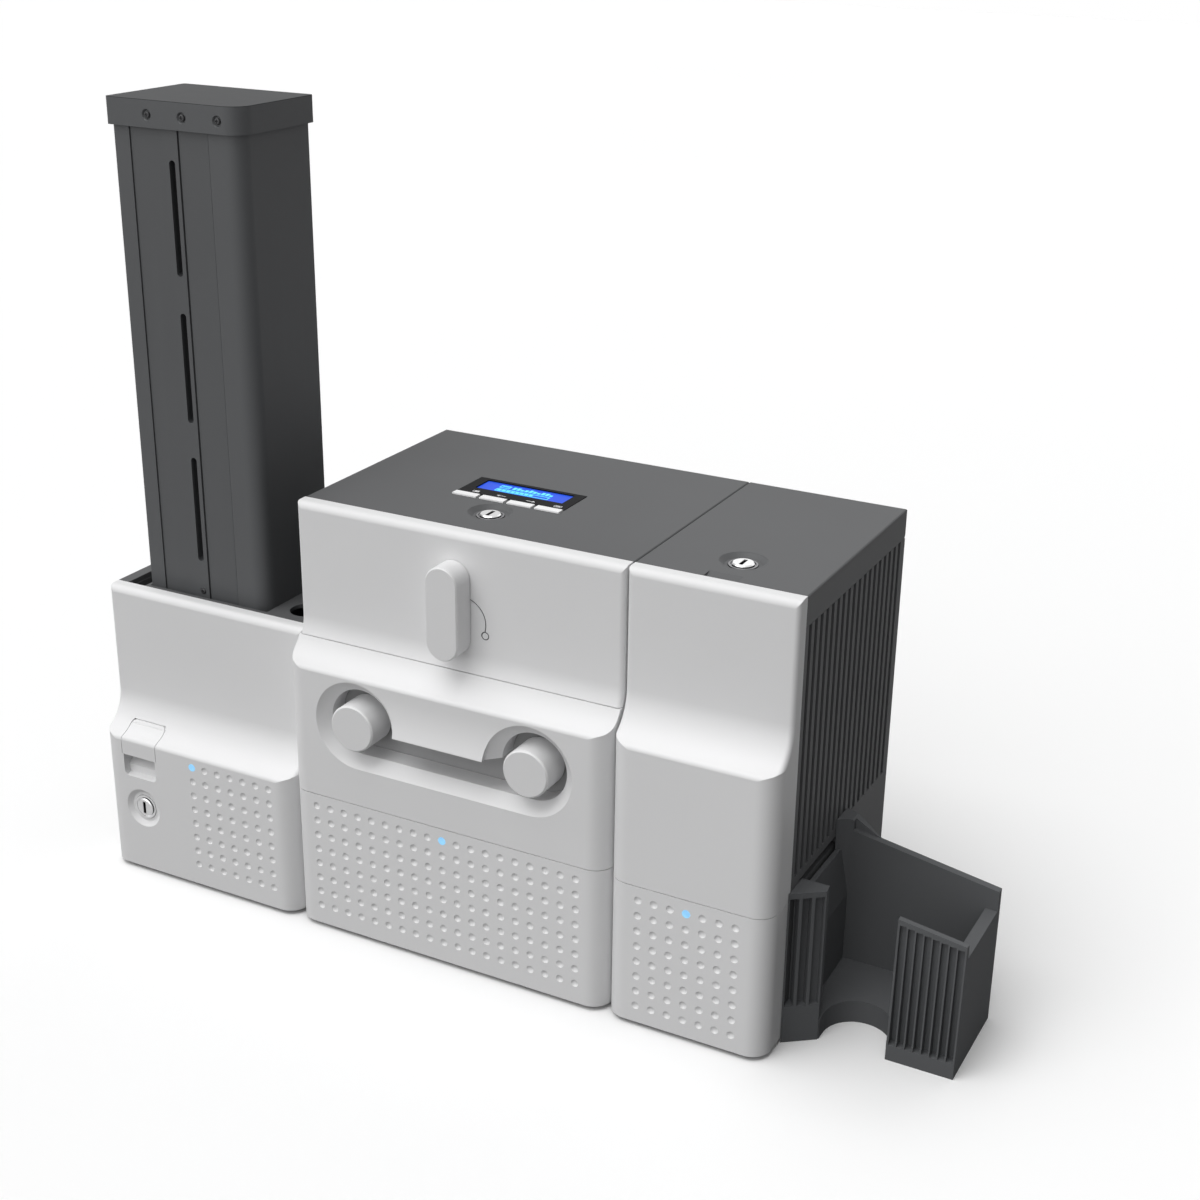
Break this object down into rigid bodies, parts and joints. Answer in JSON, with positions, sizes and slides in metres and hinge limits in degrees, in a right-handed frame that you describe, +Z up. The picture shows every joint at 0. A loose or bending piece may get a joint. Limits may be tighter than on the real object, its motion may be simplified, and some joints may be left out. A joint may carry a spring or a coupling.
{
  "type": "id card printer",
  "caption": "Desk-top card printer with a tall input tower, hinged lids, pull-out ribbon drawer, head lever, turn-over module and output tray.",
  "frame": {"origin": "on the table under the middle of the part's bounding box", "axes": "+X to the right along the three housings as seen from the front, +Y to the back, +Z up"},
  "size_m": [0.5674, 0.189, 0.4946],
  "materials": {
    "white_cover": "fine satin moulding",
    "dark_housing": "fine grain",
    "tower_dark": "satin",
    "grey_frame": "satin",
    "gear_nylon": "satin",
    "steel": "plated sheet",
    "aluminium": "satin",
    "brass": "turned",
    "chrome_lock": "polished",
    "rubber": "matt",
    "motor_black": "matt",
    "light_blue": "lit lens",
    "bezel_black": "gloss",
    "screen_blue": "lit panel",
    "board_green": "solder resist",
    "socket_black": "satin",
    "ribbon": "film",
    "used_ribbon": "film"
  },
  "bodies": {
    "machine": {"feeder_chassis": "dark_housing", "feeder_deck": "dark_housing", "feed_table": "grey_frame", "feed_motor": "motor_black", "printer_chassis": "dark_housing", "print_frame": "steel", "upper_front_panel": "white_cover", "lower_front_panel": "white_cover", "status_lights": "light_blue", "main_board": "board_green", "rear_sockets": "socket_black", "hinge_pins": "steel", "flipper_chassis": "dark_housing", "flipper_side_panel": "dark_housing", "flipper_front_panel": "white_cover", "flipper_lower_panel": "white_cover", "flipper_frame": "steel", "output_tray": "tower_dark", "rubber_feet": "rubber"},
    "input_door": {"feeder_door": "white_cover", "feeder_light": "light_blue", "feeder_lock_barrel": "chrome_lock"},
    "door_latch": {"feeder_latch": "white_cover"},
    "door_lock": {"feeder_lock_plug": "chrome_lock"},
    "hopper": {"hopper_tower": "tower_dark", "hopper_front_panel": "tower_dark", "hopper_cap": "tower_dark"},
    "weight": {"card_weight": "aluminium"},
    "pick": {"pick_roller": "rubber", "pick_gear": "gear_nylon"},
    "pinion": {"motor_pinion": "brass"},
    "lid": {"printer_lid": "dark_housing", "display_bezel": "bezel_black", "display_screen": "screen_blue", "printer_lock_barrel": "chrome_lock"},
    "lid_lock": {"printer_lock_plug": "chrome_lock"},
    "menu_1": {"button_1": "white_cover"},
    "menu_2": {"button_2": "white_cover"},
    "menu_3": {"button_3": "white_cover"},
    "menu_4": {"button_4": "white_cover"},
    "lever": {"head_lever": "white_cover", "cam_shaft": "steel"},
    "head": {"head_bracket": "steel", "print_head": "aluminium"},
    "drawer": {"ribbon_drawer": "white_cover", "ribbon_frame": "tower_dark", "ribbon_film": "ribbon"},
    "supply": {"supply_spool": "white_cover", "supply_roll": "ribbon"},
    "takeup": {"takeup_spool": "white_cover", "takeup_roll": "used_ribbon"},
    "platen": {"platen_roller": "rubber"},
    "inlet": {"inlet_roller": "rubber"},
    "outlet": {"outlet_roller": "rubber"},
    "turn_lid": {"flipper_lid": "dark_housing", "flipper_lock_barrel": "chrome_lock"},
    "turn_lid_lock": {"flipper_lock_plug": "chrome_lock"},
    "drum": {"flipper_drum": "grey_frame"},
    "switch": {"power_switch": "socket_black"}
  },
  "joints": [
    {"name": "door_swing", "type": "hinge", "parent": "machine", "child": "input_door", "pos_m": [-0.1457, -0.0785, 0.09], "axis": [0, 0, 1], "range_deg": [0, 85]},
    {"name": "latch_pull", "type": "hinge", "parent": "input_door", "child": "door_latch", "pos_m": [-0.254, -0.07708, 0.10157], "axis": [-1, 0, 0], "range_deg": [0, 20], "stiffness_Nm_per_rad": 0.02},
    {"name": "door_lock_turn", "type": "hinge", "parent": "input_door", "child": "door_lock", "pos_m": [-0.2538, -0.0855, 0.0474], "axis": [0, 1, 0], "range_deg": [0, 90]},
    {"name": "hopper_lift", "type": "slide", "parent": "machine", "child": "hopper", "axis": [0, 0, 1], "range_m": [0, 0.095]},
    {"name": "weight_slide", "type": "slide", "parent": "hopper", "child": "weight", "axis": [0, 0, 1], "range_m": [0, 0.33]},
    {"name": "pick_spin", "type": "hinge", "parent": "machine", "child": "pick", "pos_m": [-0.2197, -0.0105, 0.08492], "axis": [0, 1, 0], "continuous": true},
    {"name": "pinion_spin", "type": "hinge", "parent": "machine", "child": "pinion", "pos_m": [-0.20458, 0.0195, 0.06476], "axis": [0, 1, 0], "continuous": true},
    {"name": "printer_lid_open", "type": "hinge", "parent": "machine", "child": "lid", "pos_m": [-0.024, 0.092, 0.259], "axis": [-1, 0, 0], "range_deg": [0, 75]},
    {"name": "printer_lock_turn", "type": "hinge", "parent": "lid", "child": "lid_lock", "pos_m": [-0.024, -0.031, 0.265], "axis": [0, 0, 1], "range_deg": [0, 90]},
    {"name": "menu_press_1", "type": "slide", "parent": "lid", "child": "menu_1", "axis": [0, 0, -1], "range_m": [0, 0.0008], "stiffness_N_per_m": 300},
    {"name": "menu_press_2", "type": "slide", "parent": "lid", "child": "menu_2", "axis": [0, 0, -1], "range_m": [0, 0.0008], "stiffness_N_per_m": 300},
    {"name": "menu_press_3", "type": "slide", "parent": "lid", "child": "menu_3", "axis": [0, 0, -1], "range_m": [0, 0.0008], "stiffness_N_per_m": 300},
    {"name": "menu_press_4", "type": "slide", "parent": "lid", "child": "menu_4", "axis": [0, 0, -1], "range_m": [0, 0.0008], "stiffness_N_per_m": 300},
    {"name": "lever_turn", "type": "hinge", "parent": "machine", "child": "lever", "pos_m": [-0.024, -0.0705, 0.2295], "axis": [0, 1, 0], "range_deg": [0, 90]},
    {"name": "head_lift", "type": "slide", "parent": "machine", "child": "head", "axis": [0, 0, 1], "range_m": [0, 0.008]},
    {"name": "drawer_slide", "type": "slide", "parent": "machine", "child": "drawer", "axis": [0, -1, 0], "range_m": [0, 0.1]},
    {"name": "supply_spin", "type": "hinge", "parent": "drawer", "child": "supply", "pos_m": [-0.083, -0.0305, 0.1472], "axis": [0, 1, 0], "continuous": true},
    {"name": "takeup_spin", "type": "hinge", "parent": "drawer", "child": "takeup", "pos_m": [0.035, -0.0305, 0.1472], "axis": [0, 1, 0], "continuous": true},
    {"name": "platen_spin", "type": "hinge", "parent": "machine", "child": "platen", "pos_m": [-0.024, -0.0185, 0.08462], "axis": [0, 1, 0], "continuous": true},
    {"name": "inlet_spin", "type": "hinge", "parent": "machine", "child": "inlet", "pos_m": [-0.1195, -0.0185, 0.08662], "axis": [0, 1, 0], "continuous": true},
    {"name": "outlet_spin", "type": "hinge", "parent": "machine", "child": "outlet", "pos_m": [0.0715, -0.0185, 0.08662], "axis": [0, 1, 0], "continuous": true},
    {"name": "turn_lid_open", "type": "hinge", "parent": "machine", "child": "turn_lid", "pos_m": [0.1357, 0.092, 0.259], "axis": [-1, 0, 0], "range_deg": [0, 75]},
    {"name": "turn_lock_turn", "type": "hinge", "parent": "turn_lid", "child": "turn_lid_lock", "pos_m": [0.1357, -0.031, 0.265], "axis": [0, 0, 1], "range_deg": [0, 90]},
    {"name": "drum_spin", "type": "hinge", "parent": "machine", "child": "drum", "pos_m": [0.1357, -0.0185, 0.095], "axis": [0, 1, 0], "continuous": true},
    {"name": "switch_rock", "type": "hinge", "parent": "machine", "child": "switch", "pos_m": [0.0335, 0.0895, 0.03], "axis": [1, 0, 0], "range_deg": [0, 12]}
  ],
  "couplings": [
    {"joint": "pinion_spin", "follows": "pick_spin", "ratio": -2.5},
    {"joint": "lever_turn", "follows": "head_lift", "rad_per_m": 196.35},
    {"joint": "takeup_spin", "follows": "supply_spin", "ratio": 1.579},
    {"joint": "inlet_spin", "follows": "platen_spin", "ratio": 1.25},
    {"joint": "outlet_spin", "follows": "platen_spin", "ratio": 1.25}
  ]
}
